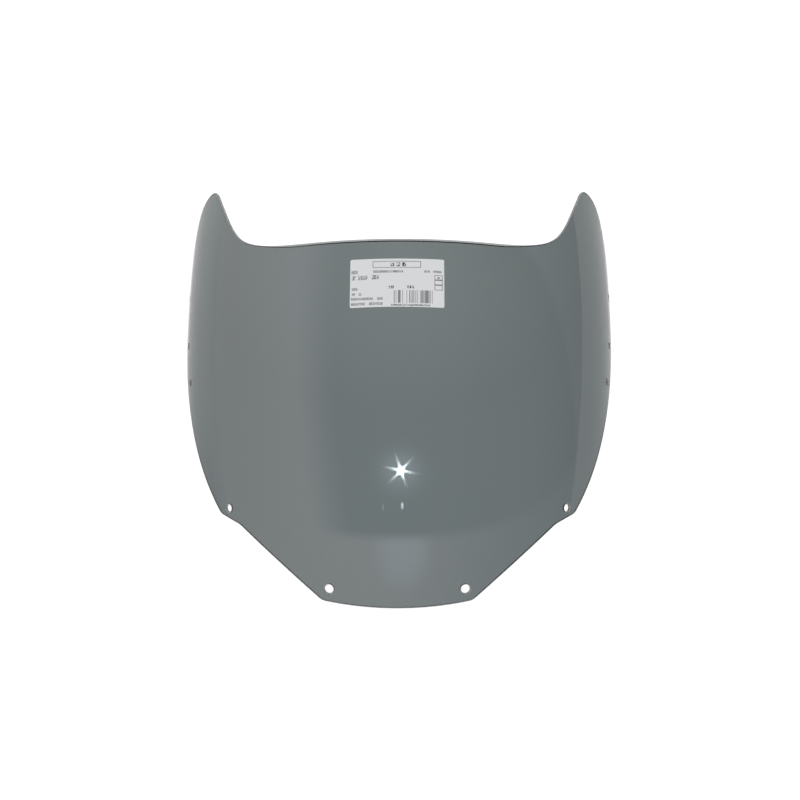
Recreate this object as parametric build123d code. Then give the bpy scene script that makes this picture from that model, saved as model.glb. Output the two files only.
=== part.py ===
from build123d import *
import math
import os

# Motorcycle windshield screen: one sheet of smoked acrylic, thermoformed into a bubble, with ten
# open fixing holes and an adhesive paper label near its top edge.
# The sheet is drawn in its face frame, looking square at the front of the bubble: X runs across,
# Y runs back and Z runs up the face. The finished part is then tilted to lie on its own rim.

# Sheet
SHEET_THICKNESS = 3.0

# Bubble: every section square to Z is half an ellipse, and the foremost points lie on an arc
HALF_WIDTH = 220.0
SECTION_DEPTH = 150.0
PROFILE_RADIUS = 535.0
WIDEST_HEIGHT = 150.0
SIDE_BOW_RADIUS = 2500.0

# Skin that the outline is cut from
SKIN_LOW = -140.0
SKIN_HIGH = 330.0
SKIN_WRAP = 100.0
SKIN_ROWS = 25
SKIN_COLUMNS = 33

# Top edge, ear and rear rim, seen from the side as (Y, Z)
RIM_POINTS = [(37, 250), (59, 244.7), (80, 240), (98, 243.5), (118, 257), (137, 274.5), (162, 296),
              (179.5, 304), (188, 294), (189.5, 272), (186, 242), (175, 200), (152, 146),
              (118, 84), (84, 21), (57, -31), (46, -53)]

# Chin and shoulders, seen from the front as (X, Z)
CHIN_LOWEST = -111.2
CHIN_CORNER = (72.0, -104.3)
CHIN_CORNER_RADIUS = 14.0
SHOULDER = (153.0, -33.8)
SHOULDER_RADIUS = 25.0
LIP_RISE_DEGREES = 26.0
RIM_CORNER_RADIUS = 12.0

# Fixing holes: two in the chin and one in each shoulder as (X, Z), and three along each rim as (Y, Z)
FRONT_HOLE_DIAMETER = 8.5
SIDE_HOLE_DIAMETER = 7.0
FRONT_HOLE = (65.0, -93.0)
LOWER_SIDE_HOLE = (164.5, -18.3)
RIM_HOLES = [(118.0, 104.7), (137.5, 142.0), (164.0, 192.4)]

# Label
LABEL_WIDTH = 93.0
LABEL_HEIGHT = 52.0
LABEL_CORNER_RADIUS = 2.5
LABEL_THICKNESS = 0.25
LABEL_CENTRE_HEIGHT = 200.0


def profile_depth(z):
    """How far back the foremost point of the bubble lies at a height on the face."""
    return PROFILE_RADIUS - math.sqrt(PROFILE_RADIUS**2 - z**2)


def half_width(z):
    """Half the width of the section at a height: the sides bow on a long arc."""
    rise = z - WIDEST_HEIGHT
    return HALF_WIDTH - SIDE_BOW_RADIUS + math.sqrt(SIDE_BOW_RADIUS**2 - rise**2)


def section_depth(z):
    return SECTION_DEPTH * half_width(z) / HALF_WIDTH


def skin_point(wrap, z):
    """Point of the outer skin at an angle round the half ellipse and a height."""
    angle = math.radians(wrap)
    depth = profile_depth(z) + section_depth(z) * (1 - math.cos(angle))
    return Vector(half_width(z) * math.sin(angle), depth, z)


def skin_normal(wrap, z):
    """Outward unit normal of the skin, from two short chords."""
    step = 0.01
    across = skin_point(wrap + step, z) - skin_point(wrap - step, z)
    upward = skin_point(wrap, z + step) - skin_point(wrap, z - step)
    return across.cross(upward).normalized()


def outer_skin():
    """The formed outer surface, larger than the finished screen on every side."""
    rows = []
    for i in range(SKIN_ROWS):
        z = SKIN_LOW + (SKIN_HIGH - SKIN_LOW) * i / (SKIN_ROWS - 1)
        wraps = [SKIN_WRAP * (2 * j / (SKIN_COLUMNS - 1) - 1) for j in range(SKIN_COLUMNS)]
        rows.append([skin_point(wrap, z) for wrap in wraps])
    return Face.make_surface_from_array_of_points(rows, tol=0.005, max_deg=5)


def rim_blank():
    """Slab that keeps what lies inside the top edge, the ears and the rear rims."""
    with BuildSketch(Plane.YZ) as side:
        with BuildLine():
            rim = Spline(*RIM_POINTS)
            below = SKIN_LOW - 20
            Polyline(rim @ 1, (RIM_POINTS[-1][0], below), (-80, below), (-80, SKIN_HIGH), rim @ 0)
        make_face()
    return extrude(side.sketch, 2 * HALF_WIDTH, both=True)


def mirrored(point):
    return (-point[0], point[1])


def chin_blank():
    """Slab that keeps what lies above the chin, the straight diagonals and the shoulders."""
    with BuildSketch(Plane.XZ) as front:
        with BuildLine():
            ThreePointArc(mirrored(CHIN_CORNER), (0, CHIN_LOWEST), CHIN_CORNER)
            beyond = 2 * HALF_WIDTH
            rise = (beyond - SHOULDER[0]) * math.tan(math.radians(LIP_RISE_DEGREES))
            lip_end = (beyond, SHOULDER[1] + rise)
            top_right = (beyond, SKIN_HIGH + 20)
            Polyline(CHIN_CORNER, SHOULDER, lip_end, top_right)
            Line(top_right, mirrored(top_right))
            Polyline(mirrored(top_right), mirrored(lip_end), mirrored(SHOULDER), mirrored(CHIN_CORNER))
        make_face()
        for corner, radius in ((CHIN_CORNER, CHIN_CORNER_RADIUS), (SHOULDER, SHOULDER_RADIUS)):
            fillet([v for v in front.vertices() if abs(abs(v.X) - corner[0]) < 0.1], radius)
    return extrude(front.sketch, 2 * HALF_WIDTH, both=True)


def formed_sheet(skin):
    """The trimmed skin thickened inwards, so that every edge is square to the sheet."""
    inside_rim = skin.intersect(rim_blank()).faces()[0]
    trimmed = inside_rim.intersect(chin_blank()).faces()[0]
    sheet = Solid.thicken(trimmed, SHEET_THICKNESS, normal_override=(0, 1, 0))
    edges = [e for e in sheet.edges() if e.length < 1.5 * SHEET_THICKNESS]
    rim_corners = [e for e in edges if abs(e.center().X) > SHOULDER[0] + 8]
    return sheet.fillet(RIM_CORNER_RADIUS, rim_corners)


def hole_places():
    """Name, diameter, wrap angle and height of each fixing hole, left and right alike."""
    places = []
    for side, sign in (("left", -1), ("right", 1)):
        for name, diameter, (x, z) in (
            ("front", FRONT_HOLE_DIAMETER, FRONT_HOLE),
            ("lower_side", SIDE_HOLE_DIAMETER, LOWER_SIDE_HOLE),
        ):
            wrap = math.degrees(math.asin(x / half_width(z)))
            places.append((f"{name}_{side}", diameter, sign * wrap, z))
        for number, (y, z) in enumerate(RIM_HOLES, 1):
            wrap = math.degrees(math.acos(1 - (y - profile_depth(z)) / section_depth(z)))
            places.append((f"rim_{number}_{side}", SIDE_HOLE_DIAMETER, sign * wrap, z))
    return places


def drill(wrap, z, diameter):
    """Cylinder through the sheet along its own normal, centred in the wall."""
    normal = skin_normal(wrap, z)
    middle = skin_point(wrap, z) - normal * (SHEET_THICKNESS / 2)
    return Plane(origin=middle, z_dir=normal) * Cylinder(diameter / 2, 3 * SHEET_THICKNESS)


def screen_panel(skin):
    panel = formed_sheet(skin)
    for _, diameter, wrap, z in hole_places():
        panel = panel - drill(wrap, z, diameter)
    return panel


def product_label(skin):
    """Paper label stuck on the outside: a rounded rectangle laid along the surface's normal."""
    normal = skin_normal(0, LABEL_CENTRE_HEIGHT)
    centre = skin_point(0, LABEL_CENTRE_HEIGHT)
    plane = Plane(origin=centre, x_dir=(1, 0, 0), z_dir=normal)
    outline = plane * RectangleRounded(LABEL_WIDTH, LABEL_HEIGHT, LABEL_CORNER_RADIUS)
    footprint = skin.intersect(extrude(outline, 20, both=True)).faces()[0]
    return Solid.thicken(footprint, LABEL_THICKNESS, normal_override=(0, -1, 0))


def resting_tilt(panel):
    """Angle to tip the face back by, so that the chin and both rear rims touch one level plane."""
    steps = [k / 100 for k in range(101)]
    points = [edge @ step for edge in panel.edges() for step in steps]
    chin = [p for p in points if p.Z < SHOULDER[1]]
    rims = [p for p in points if p.Z > 0 and p.Y > RIM_HOLES[0][0]]
    low, high = 30.0, 80.0
    while high - low > 1e-6:
        tilt = (low + high) / 2
        rise, fall = math.cos(math.radians(tilt)), math.sin(math.radians(tilt))
        lowest_chin = min(p.Z * rise - p.Y * fall for p in chin)
        lowest_rim = min(p.Z * rise - p.Y * fall for p in rims)
        low, high = (tilt, high) if lowest_rim > lowest_chin else (low, tilt)
    return tilt


skin = outer_skin()
panel = screen_panel(skin)
label = product_label(skin)
TILT = resting_tilt(panel)
tilted = Rot(X=-TILT) * panel
box = tilted.bounding_box()
ground = Pos(-box.center().X, -box.center().Y, -box.min.Z) * Rot(X=-TILT)

os.makedirs("parts", exist_ok=True)
export_step(ground * panel, "parts/screen_panel.step")
export_step(ground * label, "parts/product_label.step")
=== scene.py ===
# %% [markdown]
# # A smoked motorcycle windshield screen
# The object is one sheet of smoke grey acrylic, heated and drawn into a bubble, then trimmed and
# drilled. A paper label is stuck near its top edge. It lies on its own rim on a pale table.
# The sheet is worked out in its face frame, in millimetres, looking square at the front of the
# bubble: X runs across, Y runs back and Z runs up the face. The last step tilts it to its rest.

# %% Frame and its box
import math

import bpy
import numpy as np
from mathutils import Euler, Matrix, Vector
from mathutils.geometry import delaunay_2d_cdt


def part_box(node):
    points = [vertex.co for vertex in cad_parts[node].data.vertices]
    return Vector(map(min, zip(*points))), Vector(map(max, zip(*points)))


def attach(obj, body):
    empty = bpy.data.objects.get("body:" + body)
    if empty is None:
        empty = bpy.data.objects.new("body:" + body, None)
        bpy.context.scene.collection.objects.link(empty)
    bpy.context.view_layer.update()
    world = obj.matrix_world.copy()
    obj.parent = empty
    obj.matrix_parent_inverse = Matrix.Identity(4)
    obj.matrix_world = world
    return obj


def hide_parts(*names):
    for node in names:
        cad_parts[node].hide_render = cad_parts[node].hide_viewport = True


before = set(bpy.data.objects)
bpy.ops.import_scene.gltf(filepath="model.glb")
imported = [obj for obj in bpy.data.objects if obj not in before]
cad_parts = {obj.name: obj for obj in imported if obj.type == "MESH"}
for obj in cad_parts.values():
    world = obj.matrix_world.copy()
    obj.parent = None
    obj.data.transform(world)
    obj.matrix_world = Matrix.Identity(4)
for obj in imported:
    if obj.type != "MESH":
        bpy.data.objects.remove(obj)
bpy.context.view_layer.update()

# %% [markdown]
# ## The drawn skin
# A bubble is a smooth skin over a hollow. Every section across it is half an ellipse, and its
# foremost points lie on an arc, so a point follows from two numbers: the wrap, which is the angle
# round the ellipse, and the height on the face. A formula gives a skin without any facets, and
# its exact normals too, which a glossy surface needs.

# %% Skin formula
HALF_WIDTH = 220.0
SECTION_DEPTH = 150.0
PROFILE_RADIUS = 535.0
WIDEST_HEIGHT = 150.0
SIDE_BOW_RADIUS = 2500.0
SHEET_THICKNESS = 3.0


def half_width(z):
    """Half the width of the section at height z, which bows in above and below the widest one."""
    return HALF_WIDTH - SIDE_BOW_RADIUS + np.sqrt(SIDE_BOW_RADIUS**2 - (z - WIDEST_HEIGHT) ** 2)


def profile_depth(z):
    """How far back the foremost point of the section at height z lies, on an arc."""
    return PROFILE_RADIUS - np.sqrt(PROFILE_RADIUS**2 - z**2)


def skin(wrap, z):
    """The skin's points.

    Across it is the half width times the sine of the wrap. Back it is the profile's depth, plus the
    section's depth times one minus the cosine of the wrap.
    """
    width = half_width(z)
    depth = SECTION_DEPTH * width / HALF_WIDTH
    return np.stack([width * np.sin(wrap), profile_depth(z) + depth * (1 - np.cos(wrap)), z], -1)


print("half width of the widest section, mm:", half_width(WIDEST_HEIGHT))

# %% [markdown]
# ## The sheet laid flat
# The outline and the mesh are easier to lay out on a flat sheet. Its first axis is the distance
# round the widest section and its second is the height, so lengths on it are nearly true.

# %% Flat sheet to skin
WRAP_TABLE = np.linspace(-2.0, 2.0, 4001)
speed = np.hypot(HALF_WIDTH * np.cos(WRAP_TABLE), SECTION_DEPTH * np.sin(WRAP_TABLE))
run = np.concatenate([[0], np.cumsum((speed[1:] + speed[:-1]) / 2 * np.diff(WRAP_TABLE))])
ROUND_TABLE = run - np.interp(0, WRAP_TABLE, run)


def on_skin(flat):
    """The skin's point above each point of the flat sheet."""
    return skin(np.interp(flat[..., 0], ROUND_TABLE, WRAP_TABLE), flat[..., 1])


def directions(flat):
    """Two tangents of the skin and its unit normal.

    The tangents are differences over 0.02 mm, and the normal is their cross product.
    """
    step = 0.01
    across = (on_skin(flat + [step, 0]) - on_skin(flat - [step, 0])) / (2 * step)
    up = (on_skin(flat + [0, step]) - on_skin(flat - [0, step])) / (2 * step)
    normal = np.cross(across, up)
    return across, up, normal / np.linalg.norm(normal, axis=-1, keepdims=True)


def shift_on_skin(flat, move):
    """The flat points that lie a small tangent vector away on the skin.

    The two parts of the shift are the least squares fit of the two tangents to the vector.
    """
    across, up, _ = directions(flat)
    aa, au, uu = (across * across).sum(-1), (across * up).sum(-1), (up * up).sum(-1)
    am, um = (across * move).sum(-1), (up * move).sum(-1)
    gram = aa * uu - au**2
    return flat + np.stack([(uu * am - au * um) / gram, (aa * um - au * am) / gram], -1)


quarter_round = np.interp(math.pi / 2, WRAP_TABLE, ROUND_TABLE)
print("round the widest section, mm:", round(2 * float(quarter_round), 1))

# %% [markdown]
# ## Curve tools
# An outline is drawn from smooth curves and straight lines with rounded corners. Three tools do
# that: a spline through points, a line with its points spread evenly, and two lines joined by an
# arc. Even spacing matters later, because the mesh takes its edge lengths from the outline.

# %% Curve tools
def spline(points, count):
    """Natural cubic spline through the points; its parameter is the distance between them."""
    p = np.array(points, float)
    t = np.concatenate([[0], np.cumsum(np.linalg.norm(np.diff(p, axis=0), axis=1))])
    h = np.diff(t)
    system, right = np.eye(len(p)), np.zeros_like(p)
    inner = np.arange(1, len(p) - 1)
    system[inner, inner - 1], system[inner, inner + 1] = h[:-1], h[1:]
    system[inner, inner] = 2 * (h[:-1] + h[1:])
    right[1:-1] = 6 * np.diff(np.diff(p, axis=0) / h[:, None], axis=0)
    bend = np.linalg.solve(system, right)
    s = np.linspace(0, t[-1], count)
    k = np.clip(np.searchsorted(t, s, side="right") - 1, 0, len(p) - 2)
    a, b, hk = (t[k + 1] - s)[:, None], (s - t[k])[:, None], h[k][:, None]
    curved = (bend[k] * a**3 + bend[k + 1] * b**3) / (6 * hk)
    return curved + (p[k] / hk - bend[k] * hk / 6) * a + (p[k + 1] / hk - bend[k + 1] * hk / 6) * b


def evenly(points, step):
    """The same polyline with its points an even distance apart, near step."""
    run = np.concatenate([[0], np.cumsum(np.linalg.norm(np.diff(points, axis=0), axis=1))])
    s = np.linspace(0, run[-1], max(round(run[-1] / step), 2) + 1)
    return np.stack([np.interp(s, run, points[:, i]) for i in (0, 1)], -1)


def rounded(before, after, radius):
    """Two lines that meet end to start, joined by an arc.

    Both are cut back by the radius over the tangent of half their angle. The arc mixes its two end
    radii, each by the sine of the turn left to the other over the sine of the whole turn.
    """
    corner = after[0]
    reach = 2.0
    back = before[np.linalg.norm(before - corner, axis=1) > reach][-1] - corner
    ahead = after[np.linalg.norm(after - corner, axis=1) > reach][0] - corner
    back, ahead = back / np.linalg.norm(back), ahead / np.linalg.norm(ahead)
    half = math.acos(float(back @ ahead)) / 2
    cut = radius / math.tan(half)
    bisector = (back + ahead) / np.linalg.norm(back + ahead)
    centre = corner + bisector * radius / math.sin(half)
    start, end = corner + back * cut - centre, corner + ahead * cut - centre
    sweep = (math.pi / 2 - half) * 2
    turn = np.linspace(0, 1, 25)[:, None]
    arc = start * np.sin((1 - turn) * sweep) + end * np.sin(turn * sweep)
    arc = centre + arc / math.sin(sweep)
    keep_before = before[np.linalg.norm(before - corner, axis=1) > cut]
    keep_after = after[np.linalg.norm(after - corner, axis=1) > cut]
    return np.vstack([keep_before, arc, keep_after])


square = rounded(np.array([(9.0, 0.0), (0.0, 0.0)]), np.array([(0.0, 0.0), (0.0, 9.0)]), 3.0)
print("a square corner rounded by 3 mm has", len(square), "points")

# %% [markdown]
# ## The trimmed outline
# A trimming jig cuts the blank twice: along the chin and shoulders, seen from the front, and along
# the top edge, the ears and the rear rims, seen from the side. Both cuts are laid on the flat
# sheet, joined at the rear corners, and their corners rounded. The left half mirrors the right.

# %% Outline of the right half, then of the whole
CHIN_LOWEST = -111.2
CHIN_CORNER = (72.0, -104.3)
SHOULDER = (153.0, -33.8)
LIP_RISE = math.radians(26.0)
RIM_POINTS = [(37, 250), (59, 244.7), (80, 240), (98, 243.5), (118, 257), (137, 274.5), (162, 296),
              (179.5, 304), (188, 294), (189.5, 272), (186, 242), (175, 200), (152, 146),
              (118, 84), (84, 21), (57, -31), (46, -53)]
CHIN_CORNER_RADIUS, SHOULDER_RADIUS, RIM_CORNER_RADIUS = 14.0, 25.0, 12.0
LINE_STEP, OUTLINE_STEP = 0.5, 1.2
RIM_SAMPLES = 6000


def flat_from_front(points):
    """Front view X and Z to the flat sheet: the wrap is the arcsine of X over the half width."""
    wrap = np.arcsin(points[:, 0] / half_width(points[:, 1]))
    return np.stack([np.interp(wrap, WRAP_TABLE, ROUND_TABLE), points[:, 1]], -1)


def flat_from_side(points):
    """Side view Y and Z to the flat sheet.

    The wrap is the arccosine of one minus the share of the section's depth behind the profile.
    """
    y, z = points[:, 0], points[:, 1]
    depth = SECTION_DEPTH * half_width(z) / HALF_WIDTH
    wrap = np.arccos(1 - np.clip((y - profile_depth(z)) / depth, 0, 2))
    return np.stack([np.interp(wrap, WRAP_TABLE, ROUND_TABLE), z], -1)


rise, half_chord = CHIN_CORNER[1] - CHIN_LOWEST, CHIN_CORNER[0]
chin_radius = (half_chord**2 + rise**2) / (2 * rise)
chin_x = np.linspace(0, half_chord, 80)
chin = np.stack([chin_x, CHIN_LOWEST + chin_radius - np.sqrt(chin_radius**2 - chin_x**2)], -1)
diagonal = evenly(np.array([CHIN_CORNER, SHOULDER]), LINE_STEP)
lip_reach = half_width(0.0) - 1
lip_end = (lip_reach, SHOULDER[1] + (lip_reach - SHOULDER[0]) * math.tan(LIP_RISE))
lip = evenly(np.array([SHOULDER, lip_end]), LINE_STEP)
front = rounded(rounded(chin, diagonal, CHIN_CORNER_RADIUS), lip, SHOULDER_RADIUS)
front = flat_from_front(front)

rim = flat_from_side(spline(RIM_POINTS[::-1], RIM_SAMPLES))
above_lip = rim[:, 1] - np.interp(rim[:, 0], front[:, 0], front[:, 1])
meeting = np.argmax((above_lip > 0) & (rim[:, 1] > SHOULDER[1]))
rim = rim[meeting:]
front = np.vstack([front[front[:, 0] < rim[0, 0]], rim[:1]])
on_centre = np.argmax(rim[:, 0] <= 0.05)
rim = np.vstack([rim[:on_centre], [[0.0, rim[on_centre, 1]]]])
right_half = evenly(rounded(front, rim, RIM_CORNER_RADIUS), OUTLINE_STEP)
left_half = right_half[-2:0:-1] * [-1, 1]
outline = np.vstack([right_half, left_half])
print("outline:", len(outline), "points, rear corner at", np.round(on_skin(rim[0]), 1))

# %% [markdown]
# ## Fixing holes
# The ten holes are drilled square to the sheet. Each is a circle in the tangent plane at its
# centre, carried onto the flat sheet. Hole loops run the other way round from the outline, so the
# material is always on their left.

# %% Hole loops
FRONT_HOLE = (65.0, -93.0, 8.5)
LOWER_SIDE_HOLE = (164.5, -18.3, 7.0)
RIM_HOLES = [(118.0, 104.7, 7.0), (137.5, 142.0, 7.0), (164.0, 192.4, 7.0)]
HOLE_POINTS = 56


def ring(centre, radius, count):
    """Circle of a radius in the tangent plane at a centre.

    It is the cosine of the turn along one unit tangent and the sine along the other.
    """
    across, _, normal = directions(centre)
    side = across / np.linalg.norm(across)
    turn = -np.linspace(0, 2 * math.pi, count, endpoint=False)[:, None]
    move = radius * (np.cos(turn) * side + np.sin(turn) * np.cross(normal, side))
    return shift_on_skin(np.repeat(centre[None], count, axis=0), move)


right_centres = np.vstack([flat_from_front(np.array([FRONT_HOLE[:2], LOWER_SIDE_HOLE[:2]])),
                           flat_from_side(np.array(RIM_HOLES)[:, :2])])
diameters = [FRONT_HOLE[2], LOWER_SIDE_HOLE[2]] + [hole[2] for hole in RIM_HOLES]
holes = [(centre * [side, 1], diameter / 2)
         for side in (1, -1) for centre, diameter in zip(right_centres, diameters)]
loops = [outline] + [ring(centre, radius, HOLE_POINTS) for centre, radius in holes]
print("holes:", len(holes), "of radius", sorted({radius for _, radius in holes}), "mm")

# %% [markdown]
# ## Skin mesh
# A hand-made grid can't follow this outline and ten holes, so the flat sheet is filled with evenly
# spaced points and joined by a triangulation that keeps the loops as edges. Every point is then put
# on the skin by the formula, once for the outer face and once a sheet's thickness behind it.

# %% Edge widths and loops to fill between
EDGE_ROUND, TOP_EDGE_ROUND = 1.0, 2.8
TOP_EDGE_ABOVE, FADE_UP = 150.0, 50.0
TOP_EDGE_INSIDE, FADE_OUT = 130.0, 25.0
FILL_STEP, CLEAR_STEPS = 2.7, 0.62
GUARD_GAPS = ((0.8, 44), (2.1, 30))
INSIDE_OUTLINE, JOIN_WITHIN = 1, 1e-7


def round_width(flat):
    """Width of an edge's rounding, which grows along the middle of the top edge.

    The growth is the product of two ramps: one rises with the height, one falls off the centre.
    """
    off_centre = np.abs(on_skin(flat)[:, 0])
    high_up = np.clip((flat[:, 1] - TOP_EDGE_ABOVE) / FADE_UP, 0, 1)
    central = np.clip((TOP_EDGE_INSIDE - off_centre) / FADE_OUT, 0, 1)
    return (EDGE_ROUND + (TOP_EDGE_ROUND - EDGE_ROUND) * (high_up * central))[:, None]


def edge_frames(flat):
    """Points of a loop on the skin, their normals, and unit vectors that point off the material.

    Such a vector is the cross product of the direction along the loop and the normal.
    """
    points = on_skin(flat)
    _, _, normal = directions(flat)
    along = np.roll(points, -1, axis=0) - np.roll(points, 1, axis=0)
    off = np.cross(along, normal)
    return points, normal, off / np.linalg.norm(off, axis=1, keepdims=True)


inset_loops = [shift_on_skin(loop, -round_width(loop) * edge_frames(loop)[2]) for loop in loops]
guard_rings = [ring(centre, radius + EDGE_ROUND + gap, count)
               for centre, radius in holes for gap, count in GUARD_GAPS]
print("rounding, mm:", EDGE_ROUND, "to", round(float(round_width(outline).max()), 2))

# %% [markdown]
# ## Filling the flat sheet
# Rows of points half a step apart sideways make triangles that are nearly equal. Points too near a
# loop are left out. The triangulation also fills the holes, and those triangles are dropped after.

# %% Triangulate

low, high = outline.min(0), outline.max(0)
columns, rows = np.meshgrid(np.arange(low[0], high[0], FILL_STEP),
                            np.arange(low[1], high[1], FILL_STEP * math.sqrt(3) / 2))
columns = columns + (np.arange(len(columns)) % 2)[:, None] * FILL_STEP / 2
fill = np.stack([columns.ravel(), rows.ravel()], -1)
taken = np.vstack(inset_loops + guard_rings)
nearest = np.concatenate([np.sqrt(((part[:, None] - taken) ** 2).sum(-1).min(1))
                          for part in np.array_split(fill, 60)])
fill = fill[nearest > CLEAR_STEPS * FILL_STEP]
flat = np.vstack(inset_loops + guard_rings + [fill])

counts = [len(loop) for loop in inset_loops]
starts = np.concatenate([[0], np.cumsum(counts)[:-1]])
kept_edges = np.vstack([
    np.stack([start + np.arange(count), start + np.roll(np.arange(count), -1)], -1)
    for start, count in zip(starts, counts)])
corners, _, triangles, _, _, _ = delaunay_2d_cdt(
    flat.tolist(), kept_edges.tolist(), [], INSIDE_OUTLINE, JOIN_WITHIN)
assert len(corners) == len(flat) and np.allclose(np.array(corners), flat, atol=1e-3)
triangles = np.array(triangles)
middles = on_skin(flat[triangles].mean(1))
in_a_hole = [np.linalg.norm(middles - on_skin(centre), axis=1) < radius + EDGE_ROUND
             for centre, radius in holes]
triangles = triangles[~np.any(in_a_hole, axis=0)]
used = np.zeros(len(flat), bool)
used[triangles] = True
renumber = np.cumsum(used) - 1
flat, triangles = flat[used], renumber[triangles]
print("one face:", len(flat), "points,", len(triangles), "triangles")

# %% [markdown]
# ## Trimmed edges
# The edges of the sheet are square to it, with both arrises rounded, and the rounding is wider
# along the middle of the top edge. The edge's profile is carried along every loop, from the outer
# face to the inner one: a quarter of an ellipse, a flat land and another quarter.

# %% Sweep the edge profile and assemble the panel
QUARTER_POINTS = 7
quarter = np.linspace(0, math.pi / 2, QUARTER_POINTS)
profile_turn = np.concatenate([quarter, quarter + math.pi / 2])
land = np.repeat([EDGE_ROUND, SHEET_THICKNESS - EDGE_ROUND], QUARTER_POINTS)
profile = (np.sin(profile_turn), np.cos(profile_turn), land - EDGE_ROUND * np.cos(profile_turn))
sine, cosine, deep = [row[1:-1, None, None] for row in profile]

_, _, face_normal = directions(flat)
outer = on_skin(flat)
points = [outer, outer - SHEET_THICKNESS * face_normal]
normals = [face_normal, -face_normal]
sheet_faces = np.vstack([triangles, triangles[:, ::-1] + len(flat)])
edge_quads, made = [], 2 * len(flat)
for start, loop in zip(starts, loops):
    place, normal, off = edge_frames(loop)
    width = round_width(loop)
    swept = place + off * width * (sine - 1) - normal * deep
    turned = off * sine * EDGE_ROUND + normal * cosine * width
    turned = turned / np.linalg.norm(turned, axis=-1, keepdims=True)
    first = renumber[start + np.arange(len(loop))]
    between = made + np.arange(swept.shape[0] * len(loop)).reshape(swept.shape[0], len(loop))
    ladder = np.vstack([first, between, first + len(flat)])
    ahead = np.roll(ladder, -1, axis=1)
    edge_quads.append(np.stack([ladder[:-1], ladder[1:], ahead[1:], ahead[:-1]], -1).reshape(-1, 4))
    points.append(swept.reshape(-1, 3))
    normals.append(turned.reshape(-1, 3))
    made += swept.shape[0] * len(loop)
panel_points, panel_normals = np.vstack(points), np.vstack(normals)
panel_faces = sheet_faces.tolist() + np.vstack(edge_quads).tolist()
print("edges:", len(panel_faces) - len(sheet_faces), "four-sided faces round", len(loops), "loops")

# %% [markdown]
# ## From the face frame to its rest
# The sheet lies on its chin and its two rear rims, so the face frame is tilted about X and then
# moved until the sheet's box is the CAD node's box.

# %% Tilt and place
TILT = math.radians(62.2860)


def tilted(vectors):
    """Vectors turned about X by the tilt: its cosine and sine mix Y and Z."""
    x, y, z = np.moveaxis(vectors, -1, 0)
    back = y * math.cos(TILT) + z * math.sin(TILT)
    return np.stack([x, back, z * math.cos(TILT) - y * math.sin(TILT)], -1)


panel_low, panel_high = (np.array(corner) * 1000 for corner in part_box("screen_panel"))
turned_points = tilted(panel_points)
found_low, found_high = turned_points.min(0), turned_points.max(0)
to_middle = (panel_low[1] + panel_high[1] - found_low[1] - found_high[1]) / 2
shift = np.array([0, to_middle, panel_low[2] - found_low[2]])
print("size in mm:", np.round(found_high - found_low, 2))
print("CAD size in mm:", np.round(panel_high - panel_low, 2))

# %% [markdown]
# ## Arrays to a mesh
# Each piece is a mesh made from arrays in one go, with its place in its mesh and its object at the
# origin. The sheet also gets the formula's own normals, so its gloss shows no facets.

# %% Mesh helper and the sheet


def at_rest(face_points):
    """Face frame in millimetres to the object's frame in metres."""
    return (tilted(face_points) + shift) / 1000


def new_piece(name, points, faces, normals=None):
    """A smooth mesh object at the origin, from arrays in the face frame."""
    mesh = bpy.data.meshes.new(name)
    mesh.from_pydata(at_rest(points).tolist(), [], faces)
    mesh.polygons.foreach_set("use_smooth", np.ones(len(mesh.polygons), bool))
    if normals is not None:
        mesh.normals_split_custom_set_from_vertices(tilted(normals).tolist())
    piece = bpy.data.objects.new(name, mesh)
    bpy.context.scene.collection.objects.link(piece)
    return piece


panel = new_piece("smoked_screen_sheet", panel_points, panel_faces, panel_normals)
print("panel:", len(panel.data.vertices), "vertices,", len(panel.data.polygons), "faces")

# %% [markdown]
# ## Paper label
# A barcode label lies flat in the tangent plane at its centre and is smoothed down onto the bubble,
# square to that plane. It is a grid of rows, each as long as the rounded rectangle is wide there,
# and a Solidify modifier gives the paper its thickness, inwards to just above the acrylic.

# %% Label on the skin
LABEL_WIDTH, LABEL_HEIGHT, LABEL_CORNER = 91.0, 51.5, 1.5
LABEL_CENTRE_HEIGHT = 200.0
LABEL_THICKNESS = 0.25
GLUE_LINE = 0.02


def under_label(across, up):
    """Flat points square below label points.

    Four Newton steps find the height. The wrap is the arcsine of the distance across over the half
    width there.
    """
    centre = np.array([0.0, LABEL_CENTRE_HEIGHT])
    middle, climb = on_skin(centre), directions(centre)[1]
    climb = climb / np.linalg.norm(climb)

    def at_height(z):
        """The flat points at the distances across, at a height."""
        wrap = np.arcsin(across / half_width(z))
        return np.stack([np.interp(wrap, WRAP_TABLE, ROUND_TABLE), z], -1)

    z = LABEL_CENTRE_HEIGHT + up
    for _ in range(4):
        found = at_height(z)
        z = z + (up - (on_skin(found) - middle) @ climb) / (directions(found)[1] @ climb)
    return at_height(z)


CORNER_ROWS, STRAIGHT_ROWS, COLUMNS = 7, 27, 61
bend = np.linspace(0, math.pi / 2, CORNER_ROWS)
straight = LABEL_HEIGHT / 2 - LABEL_CORNER
top_rows = straight + LABEL_CORNER * np.sin(bend)
straight_rows = np.linspace(-straight, straight, STRAIGHT_ROWS)[1:-1]
row_heights = np.concatenate([-top_rows[::-1], straight_rows, top_rows])
past_straight = np.clip(np.abs(row_heights) - straight, 0, None)
row_halves = LABEL_WIDTH / 2 - LABEL_CORNER + np.sqrt(LABEL_CORNER**2 - past_straight**2)
share = np.linspace(-1, 1, COLUMNS)
label_across = row_halves[:, None] * share
label_up = np.repeat(row_heights[:, None], len(share), axis=1)
label_flat = under_label(label_across, label_up)
label_points = on_skin(label_flat) + LABEL_THICKNESS * directions(label_flat)[2]
print("label grid:", label_across.shape)

# %% [markdown]
# ## Label mesh
# The grid's points become faces. A UV map holds where each point lies on the label laid flat, from
# its lower left corner, because print follows the paper and not the room.

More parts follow.
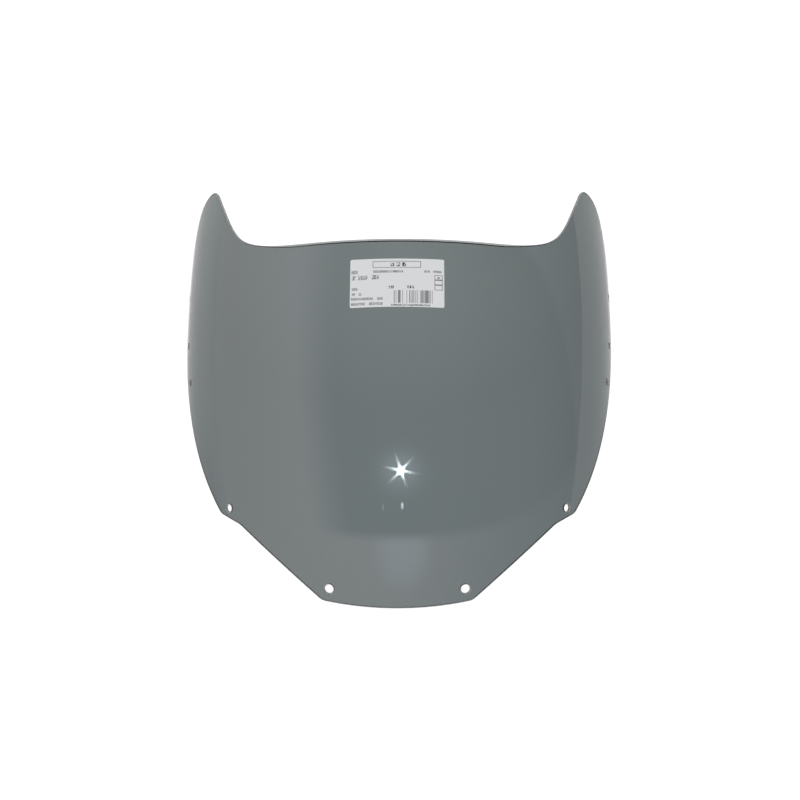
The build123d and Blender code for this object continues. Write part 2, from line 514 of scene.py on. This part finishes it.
# %% Label mesh, its map and its thickness
index = np.arange(label_across.size).reshape(label_across.shape)
label_faces = np.stack([index[:-1, :-1], index[:-1, 1:], index[1:, 1:], index[1:, :-1]], -1)
label_faces = label_faces.reshape(-1, 4).tolist()
label = new_piece("barcode_label", label_points.reshape(-1, 3), label_faces)

corner_points = np.zeros(len(label.data.loops), int)
label.data.loops.foreach_get("vertex_index", corner_points)
sheet_place = np.stack([label_across / LABEL_WIDTH + 0.5, label_up / LABEL_HEIGHT + 0.5], -1)
label_uv = label.data.uv_layers.new(name="label_sheet")
label_uv.data.foreach_set("uv", sheet_place.reshape(-1, 2)[corner_points].ravel())
paper = label.modifiers.new("paper_thickness", "SOLIDIFY")
paper.thickness, paper.offset = (LABEL_THICKNESS - GLUE_LINE) / 1000, -1.0
print("label:", len(label.data.polygons), "faces")

# %% [markdown]
# ## Material tools
# Colours are written as the sRGB values that a colour picker shows, and turned to the linear
# values that light is computed in. One helper adds a node with its settings and its links.

# %% Colour and node helpers
def linear(hex_colour):
    """sRGB hex to linear RGBA.

    A value over 0.04045 takes the 2.4 power curve, and any other is divided by 12.92.
    """
    value = np.array([int(hex_colour[i:i + 2], 16) for i in (1, 3, 5)]) / 255
    value = np.where(value > 0.04045, ((value + 0.055) / 1.055) ** 2.4, value / 12.92)
    return (*value.tolist(), 1.0)


def add(tree, kind, inputs=None, **settings):
    """Adds a node; inputs gives each socket, by name or number, a value or a node's output."""
    node = tree.nodes.new(kind)
    for name, value in settings.items():
        setattr(node, name, value)
    for socket, value in (inputs or {}).items():
        if isinstance(value, bpy.types.NodeSocket):
            tree.links.new(value, node.inputs[socket])
        else:
            node.inputs[socket].default_value = value
    return node


def new_material(name):
    """An empty node material and its output node."""
    material = bpy.data.materials.new(name)
    material.use_nodes = True
    material.node_tree.nodes.clear()
    return material, material.node_tree, material.node_tree.nodes.new("ShaderNodeOutputMaterial")


print("middle grey #808080 in linear light:", round(linear("#808080")[0], 3))

# %% [markdown]
# ## Smoked acrylic
# The sheet is cast acrylic, PMMA, dyed all through and drawn over a mould, so its tint is a volume
# that takes more light the further a ray runs in it, and its faces keep a factory gloss. Drawing
# leaves a very slight, long wave in the gloss. PMMA's index of refraction is 1.49. The trimmed edge
# and the walls of the holes are sawn, so they are rougher and scatter some of the light.

# %% Smoked acrylic material
WAVE_LENGTH, WAVE_HEIGHT, WAVE_STRENGTH = 0.045, 0.0002, 0.03
PMMA_INDEX = 1.49
TINT, TINT_DENSITY = "#9EA9AA", 950.0
# Each finish has its roughness and the share of light that goes through its surface.
FINISHES = {"smoked_cast_acrylic": (0.02, 1.0), "sawn_acrylic_edge": (0.40, 0.78)}
for name, (roughness, clear) in FINISHES.items():
    acrylic, tree, output = new_material(name)
    place = add(tree, "ShaderNodeTexCoord").outputs["Object"]
    wave = add(tree, "ShaderNodeTexNoise",
               {"Vector": place, "Scale": 1 / WAVE_LENGTH, "Detail": 1.0}).outputs["Fac"]
    wavy = add(tree, "ShaderNodeBump", {
        "Strength": WAVE_STRENGTH, "Distance": WAVE_HEIGHT, "Height": wave}).outputs["Normal"]
    gloss = add(tree, "ShaderNodeBsdfPrincipled", {
        "Base Color": linear("#FFFFFF"), "Roughness": roughness, "IOR": PMMA_INDEX,
        "Transmission Weight": clear, "Normal": wavy})
    tint = add(tree, "ShaderNodeVolumeAbsorption",
               {"Color": linear(TINT), "Density": TINT_DENSITY})
    tree.links.new(gloss.outputs["BSDF"], output.inputs["Surface"])
    tree.links.new(tint.outputs["Volume"], output.inputs["Volume"])
    panel.data.materials.append(acrylic)
on_edge = np.arange(len(panel_faces)) >= len(sheet_faces)
panel.data.polygons.foreach_set("material_index", on_edge.astype(np.int32))
print("acrylic finishes:", len(panel.data.materials))

# %% [markdown]
# ## Printed paper
# The label is white machine-coated paper, printed in black by heat: a framed title, lines of small
# print, three empty boxes and a barcode. The print says nothing: each line is a row of cells that a
# white noise texture fills or leaves, in character widths. The bars are the same along one axis.

# %% Printed paper material
SMALL_PRINT = {"pitch": 1.25, "body": 0.8, "wide": 0.33, "high": 0.36, "filled": 0.62}
BOLD_PRINT = {"pitch": 2.6, "body": 0.8, "wide": 0.52, "high": 0.75, "filled": 0.62}
TITLE_PRINT = {"pitch": 5.6, "body": 0.64, "wide": 0.9, "high": 0.85, "filled": 0.66}
BARS = {"pitch": 100.0, "body": 1.0, "wide": 0.52, "high": 1000.0, "filled": 0.44}
RULE, BAR_INK = 0.5, 0.72
print_paper, tree, output = new_material("printed_label_paper")
sheet_uv = add(tree, "ShaderNodeUVMap", uv_map="label_sheet").outputs["UV"]
in_mm = add(tree, "ShaderNodeVectorMath", {
    0: sheet_uv, 1: (LABEL_WIDTH, -LABEL_HEIGHT, 0.0), 2: (0.0, LABEL_HEIGHT, 0.0)},
    operation="MULTIPLY_ADD").outputs[0]


def glyphs(pitch, body, wide, high, filled):
    """One where there is ink: white noise on small cells, kept where it is under the filled share.

    What lies past the body share of each pitch stays empty, as the gap between two characters.
    """
    scaled = add(tree, "ShaderNodeVectorMath", {0: in_mm, 1: (wide, high, 1.0)},
                 operation="DIVIDE").outputs[0]
    cell = add(tree, "ShaderNodeVectorMath", {0: scaled}, operation="FLOOR").outputs[0]
    noise = add(tree, "ShaderNodeTexWhiteNoise", {"Vector": cell},
                noise_dimensions="3D").outputs["Value"]
    kept = add(tree, "ShaderNodeMath", {0: noise, 1: filled}, operation="LESS_THAN").outputs[0]
    x = add(tree, "ShaderNodeSeparateXYZ", {0: in_mm}).outputs["X"]
    part = add(tree, "ShaderNodeMath", {0: x, 1: pitch}, operation="DIVIDE").outputs[0]
    part = add(tree, "ShaderNodeMath", {0: part}, operation="FRACT").outputs[0]
    in_body = add(tree, "ShaderNodeMath", {0: part, 1: body}, operation="LESS_THAN").outputs[0]
    return add(tree, "ShaderNodeMath", {0: kept, 1: in_body}, operation="MULTIPLY").outputs[0]


def block(left, right, top, bottom):
    """One inside a rectangle, given in millimetres from the label's top left corner.

    The larger of the two offsets from its middle, each over half its side, is under one there.
    """
    half_w, half_h = (right - left) / 2, (bottom - top) / 2
    offset = add(tree, "ShaderNodeVectorMath", {
        0: in_mm, 1: (1 / half_w, 1 / half_h, 0.0),
        2: (-(left + right) / 2 / half_w, -(top + bottom) / 2 / half_h, 0.0)},
        operation="MULTIPLY_ADD").outputs[0]
    offset = add(tree, "ShaderNodeVectorMath", {0: offset}, operation="ABSOLUTE").outputs[0]
    parts = add(tree, "ShaderNodeSeparateXYZ", {0: offset}).outputs
    larger = add(tree, "ShaderNodeMath", {0: parts["X"], 1: parts["Y"]},
                 operation="MAXIMUM").outputs[0]
    return add(tree, "ShaderNodeMath", {0: larger, 1: 1.0}, operation="LESS_THAN").outputs[0]


small, bold, title, bars = [
    glyphs(**style) for style in (SMALL_PRINT, BOLD_PRINT, TITLE_PRINT, BARS)]
bars = add(tree, "ShaderNodeMath", {0: bars, 1: BAR_INK}, operation="MULTIPLY").outputs[0]
print("print patterns:", len(tree.nodes), "nodes")

# %% [markdown]
# ## What is printed where
# Each block is a rectangle with its left, right, top and bottom in millimetres. A block shows its
# pattern only inside itself, and the darkest block wins. A frame is a block less a smaller block.

# %% Blocks and frames
printed = [
    (small, (22.4, 50.9, 12.7, 15.2)), (small, (71.3, 77.0, 12.5, 15.0)),
    (small, (80.2, 88.2, 12.5, 15.0)), (small, (1.2, 7.5, 12.2, 15.9)),
    (small, (1.8, 7.6, 30.8, 33.6)), (small, (1.8, 5.0, 36.4, 39.0)),
    (small, (8.3, 11.4, 36.4, 39.0)), (small, (1.2, 22.5, 41.3, 44.0)),
    (small, (26.0, 32.0, 41.3, 44.0)), (small, (1.2, 14.5, 46.6, 49.4)),
    (small, (18.5, 31.8, 46.6, 49.4)), (small, (84.2, 86.6, 19.2, 21.4)),
    (small, (39.5, 77.5, 48.6, 50.6)), (title, (39.2, 54.2, 4.2, 8.3)),
    (bold, (1.7, 5.6, 18.0, 22.6)), (bold, (8.0, 16.5, 18.0, 22.6)),
    (bold, (21.2, 27.6, 17.6, 22.2)), (bold, (37.5, 42.4, 29.4, 32.6)),
    (bold, (55.4, 61.7, 29.0, 32.2)), (bars, (42.4, 80.2, 34.1, 47.5)),
]
frames = [(21.8, 68.4, 2.7, 9.8), (81.6, 89.2, 17.4, 22.6),
          (81.6, 89.2, 22.6, 27.9), (81.6, 89.2, 27.9, 33.4)]
ink = None
for pattern, box in printed:
    filled = add(tree, "ShaderNodeMath", {0: pattern, 1: block(*box)},
                 operation="MULTIPLY").outputs[0]
    if ink is not None:
        filled = add(tree, "ShaderNodeMath", {0: ink, 1: filled}, operation="MAXIMUM").outputs[0]
    ink = filled
for left, right, top, bottom in frames:
    around = block(left, right, top, bottom)
    inside = block(left + RULE, right - RULE, top + RULE, bottom - RULE)
    rule = add(tree, "ShaderNodeMath", {0: around, 1: inside}, operation="SUBTRACT").outputs[0]
    ink = add(tree, "ShaderNodeMath", {0: ink, 1: rule}, operation="MAXIMUM").outputs[0]
print("printed blocks:", len(printed), "and frames:", len(frames))

# %% [markdown]
# ## Paper under the print
# Coated paper is nearly smooth. Its fibres cloud the white a little at under half a millimetre, and
# lift the coating by hundredths of one.

# %% Paper, ink and coating
FIBRES_PER_MM, FIBRE_HEIGHT, FIBRE_STRENGTH = 2.5, 0.00003, 0.15
fibre = add(tree, "ShaderNodeTexNoise",
            {"Vector": in_mm, "Scale": FIBRES_PER_MM, "Detail": 3.0}).outputs["Fac"]
paper_colour = add(tree, "ShaderNodeMix", {0: fibre, 6: linear("#D2D4D5"), 7: linear("#D9DADB")},
                   data_type="RGBA").outputs[2]
colour = add(tree, "ShaderNodeMix", {0: ink, 6: paper_colour, 7: linear("#3A3C3F")},
             data_type="RGBA").outputs[2]
rough = add(tree, "ShaderNodeBump", {
    "Strength": FIBRE_STRENGTH, "Distance": FIBRE_HEIGHT, "Height": fibre})
coated = add(tree, "ShaderNodeBsdfPrincipled", {
    "Base Color": colour, "Roughness": 0.5, "IOR": 1.45, "Normal": rough.outputs["Normal"]})
tree.links.new(coated.outputs["BSDF"], output.inputs["Surface"])
label.data.materials.append(print_paper)
print("label nodes:", len(tree.nodes))

# %% [markdown]
# ## Riding on the frame
# Both pieces ride on the only body, and the CAD node that each takes the place of is hidden.

# %% Ride, and hide the CAD nodes
STANDS_FOR = [(panel, "screen_panel", "smoked_acrylic"), (label, "product_label", "label_paper")]
for piece, node, slot in STANDS_FOR:
    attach(piece, "root")
    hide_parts(node)
print("on the frame:", [piece.name for piece, _, _ in STANDS_FOR])

# %% [markdown]
# ## Light table
# See-through things are shot on a light table, so that they stand on plain white without a heavy
# shadow. The table glows evenly, and painted light is added to that glow: it is brighter towards
# the left, and a painted pool of light lies behind the screen's top edge, where the floor is more
# lit.

# %% Floor
FLOOR_HALF, FLOOR_DROP = 12.0, 0.0003
# Painted light: the glow rises towards the left, and a painted pool of light lies behind the
# screen's top edge.
GLOW_WITH_PAINTED_LEFT_LIGHT = {"From Min": -0.22, "From Max": -0.36, "To Min": 1.0, "To Max": 1.22}
PAINTED_POOL_CENTRE = (0, 0.19, 0)
PAINTED_LIGHT_POOL = {"From Min": 0.0, "From Max": 0.2, "To Min": 0.3, "To Max": 0.0}
floor_mesh = bpy.data.meshes.new("light_table")
floor_corners = np.array([(-1, -1, 0), (1, -1, 0), (1, 1, 0), (-1, 1, 0)]) * FLOOR_HALF
floor_corners = floor_corners + [0, 0, -FLOOR_DROP]
floor_mesh.from_pydata(floor_corners.tolist(), [], [(0, 1, 2, 3)])
floor = bpy.data.objects.new("light_table", floor_mesh)
bpy.context.scene.collection.objects.link(floor)
glow, tree, output = new_material("glowing_table_top")
on_table = add(tree, "ShaderNodeTexCoord").outputs["Object"]
across = add(tree, "ShaderNodeSeparateXYZ", {0: on_table}).outputs["X"]
# Emission strength is the even glow plus painted light at the left and in the painted pool.
glow_with_painted_left_light = add(tree, "ShaderNodeMapRange", {"Value": across, **GLOW_WITH_PAINTED_LEFT_LIGHT}).outputs["Result"]
from_painted_pool = add(tree, "ShaderNodeVectorMath", {0: on_table, 1: PAINTED_POOL_CENTRE},
                operation="DISTANCE").outputs["Value"]
painted_light_pool = add(tree, "ShaderNodeMapRange", {"Value": from_painted_pool, **PAINTED_LIGHT_POOL}).outputs["Result"]
glow_with_painted_light = add(tree, "ShaderNodeMath", {0: glow_with_painted_left_light, 1: painted_light_pool}, operation="ADD").outputs[0]
top = add(tree, "ShaderNodeBsdfPrincipled", {
    "Base Color": linear("#595959"), "Roughness": 0.9, "Specular IOR Level": 0.0,
    "Emission Color": linear("#FFFFFF"), "Emission Strength": glow_with_painted_light})
tree.links.new(top.outputs["BSDF"], output.inputs["Surface"])
floor_mesh.materials.append(glow)
print("table:", 2 * FLOOR_HALF, "m square,", FLOOR_DROP * 1000, "mm under the sheet")

# %% [markdown]
# ## Room
# Around the table stand white flats: one in front, one behind and a slanted one at the left. Over
# them the room is dark, and the bubble mirrors that, so its middle looks deeper than its flanks. A
# flat's top edge is a straight line, which with the eye makes a plane, so each flat is one dot
# product with the direction of the light. The flats are brighter to the left and have a soft bright
# patch in front. Only reflections see them; the rest of the light is even, as in a light tent.

# %% World
def unit(vector):
    """The same direction with a length of one: the vector over its own length."""
    return (np.array(vector) / np.linalg.norm(vector)).tolist()


# Each flat has its plane's normal and the dot products between which it ends and the room begins.
FLATS = {"front": (unit((0, 1.134, 1)), -0.03, 0.03),
         "behind": (unit((0.02, -1.07, 1)), -0.03, 0.05),
         "left": (unit((0.801, -0.054, 0.597)), -0.08, 0.26)}
RIGHTWARDS, BACKWARDS, PATCH_WAY = (1, 0, 0), (0, 1, 0), unit((0.02, -0.69, 0.72))
# Amounts of light, so they are linear and may pass one.
FLATS_LEFT, FLATS_RIGHT = (1.50, 1.38, 1.37, 1), (0.62, 0.62, 0.64, 1)
PATCH = (2.0, 2.1, 2.35, 1)
ROOM_FRONT, ROOM_BACK = (0.20, 0.25, 0.32, 1), (0.31, 0.20, 0.17, 1)
ROOM_RIGHT, EVEN_WHITE = (0.42, 0.40, 0.40, 1), (1.0, 1.0, 1.0, 1)
world = bpy.data.worlds.new("studio_room")
world.use_nodes = True
bpy.context.scene.world = world
tree = world.node_tree
tree.nodes.clear()
toward = add(tree, "ShaderNodeTexCoord").outputs["Generated"]


def blend(low, high, way, first, second):
    """Two colours mixed by the dot product of the light's direction and a way.

    Below the low value it is the first, above the high one the second, and a smooth step between.
    """
    value = add(tree, "ShaderNodeVectorMath", {0: toward, 1: way},
                operation="DOT_PRODUCT").outputs["Value"]
    step = add(tree, "ShaderNodeMapRange", {"Value": value, "From Min": low, "From Max": high},
               interpolation_type="SMOOTHSTEP").outputs["Result"]
    return add(tree, "ShaderNodeMix", {0: step, 6: first, 7: second}, data_type="RGBA").outputs[2]


flats = blend(-0.2, 0.85, RIGHTWARDS, FLATS_LEFT, FLATS_RIGHT)
flats = blend(0.975, 1.0, PATCH_WAY, flats, PATCH)
room = blend(-0.5, 0.5, BACKWARDS, ROOM_FRONT, ROOM_BACK)
room = blend(0.5, 0.95, RIGHTWARDS, room, ROOM_RIGHT)
for normal, low, high in FLATS.values():
    room = blend(low, high, normal, flats, room)
in_mirror = add(tree, "ShaderNodeLightPath").outputs["Is Glossy Ray"]
seen = add(tree, "ShaderNodeMix", {0: in_mirror, 6: EVEN_WHITE, 7: room},
           data_type="RGBA").outputs[2]
back = add(tree, "ShaderNodeBackground", {"Color": seen, "Strength": 1.0})
tree.links.new(back.outputs["Background"], add(tree, "ShaderNodeOutputWorld").inputs["Surface"])
bpy.context.scene.view_settings.view_transform = "Standard"
print("room:", len(FLATS), "flats,", len(tree.nodes), "nodes")

# %% [markdown]
# ## Flash
# A small flash beside the lens shows in the bubble as a six-pointed star in a faint halo, with two
# faint glints of the lamp stand below it. They are bright shapes that only reflections see. Their
# glow is added to what is behind them, so their dim edges don't darken it.

# %% Flash and glints
EYE = np.array([24.8, -1593.6, 80.7])
STAR = EYE + [-3.0, 0.0, 0.0]
STAR_STRETCH = np.array([10.3, 6.6])
STAR_CORE, STAR_RAY = 4.2, 22.0
RAY_WIDTH, RAY_TURN, RAY_SPACING = 7.0, 48, 60
HALO_RADIUS, HALO_WIDTH = 46.0, 19


def bright_shape(name, centre, outline_radius, glow_at, squeeze, count=180, rings=24):
    """Disc of rings in the plane of the lens.

    A point's radius is its ring's share of the outline's radius there, stretched across and up.
    """
    turn = np.linspace(0, 2 * math.pi, count, endpoint=False)
    share = np.linspace(0, 1, rings)[:, None]
    radius = share * outline_radius(turn)
    across, up = radius * np.cos(turn) * squeeze[0], radius * np.sin(turn) * squeeze[1]
    points = centre + np.stack([across, np.zeros_like(radius), up], -1)
    index = np.arange(radius.size).reshape(radius.shape)
    ahead = np.roll(index, -1, axis=1)
    quads = np.stack([index[:-1], index[1:], ahead[1:], ahead[:-1]], -1).reshape(-1, 4)
    shape = new_piece(name, points.reshape(-1, 3), quads.tolist())
    glow = shape.data.attributes.new("glow", "FLOAT", "POINT")
    glow.data.foreach_set("value", glow_at(radius).astype(np.float32).ravel())
    shape.visible_camera = shape.visible_diffuse = False
    shape.visible_transmission = shape.visible_shadow = False
    return shape


def star_radius(turn):
    """A core plus rays sixty degrees apart: each is a narrow bell of the turn away from it."""
    half_spacing = RAY_SPACING / 2
    from_ray = np.abs((np.degrees(turn) - RAY_TURN + half_spacing) % RAY_SPACING - half_spacing)
    return STAR_CORE + STAR_RAY * np.exp(-((from_ray / RAY_WIDTH) ** 1.2))


def halo_radius(turn):
    """The same radius all round."""
    return np.full_like(turn, HALO_RADIUS)


flash, tree, output = new_material("flash_light")
strength = add(tree, "ShaderNodeAttribute", attribute_name="glow").outputs["Fac"]
lit = add(tree, "ShaderNodeEmission", {"Color": (0.80, 0.93, 1.0, 1), "Strength": strength})
through = add(tree, "ShaderNodeBsdfTransparent")
added = add(tree, "ShaderNodeAddShader", {0: lit.outputs["Emission"], 1: through.outputs["BSDF"]})
tree.links.new(added.outputs["Shader"], output.inputs["Surface"])
shapes = [
    bright_shape("flash_star", STAR, star_radius, lambda r: 90 * np.exp(-r / 4.5), STAR_STRETCH),
    bright_shape("flash_halo", STAR + [0, -2, 0], halo_radius,
                 lambda r: 2.4 * np.exp(-((r / HALO_WIDTH) ** 2)), STAR_STRETCH),
    bright_shape("stand_glint", STAR + [15, 0, -266], np.ones_like, lambda r: 14 - 8 * r, (17, 26)),
    bright_shape("faint_glint", STAR + [-205, 0, -276], np.ones_like, lambda r: 4 - 3 * r, (9, 32))]
for shape in shapes:
    shape.data.materials.append(flash)
print("reflected shapes:", [shape.name for shape in shapes])

# %% [markdown]
# ## Camera
# The camera looks almost square at the bubble's face, from 62 degrees above the table. It stands
# 25 mm right of the middle and is turned by under one degree. Its lens makes 752 mm fill the frame
# at the camera's distance from the face.

# %% Camera
FRAME_WIDTH, FRAME_DISTANCE = 752.4, 1593.8
TURN = Euler((0.0036, 0.0014, 0.0136), "YXZ")
lens = bpy.data.cameras.new("camera")
lens.sensor_width = 36.0
lens.lens = lens.sensor_width * FRAME_DISTANCE / FRAME_WIDTH
lens.clip_start, lens.clip_end = 0.05, 60.0
camera = bpy.data.objects.new("camera", lens)
bpy.context.scene.collection.objects.link(camera)
facing = Matrix.Rotation(-TILT, 3, "X") @ TURN.to_matrix() @ Matrix.Rotation(math.pi / 2, 3, "X")
camera.matrix_world = Matrix.Translation(at_rest(EYE)) @ facing.to_4x4()
bpy.context.scene.camera = camera
print("camera at", [round(v, 3) for v in camera.location])

# %% [markdown]
# ## Last step
# The view layer is brought up to date. The visual model has to stay inside the CAD
# model's box.

# %% Update the view layer
bpy.context.view_layer.update()
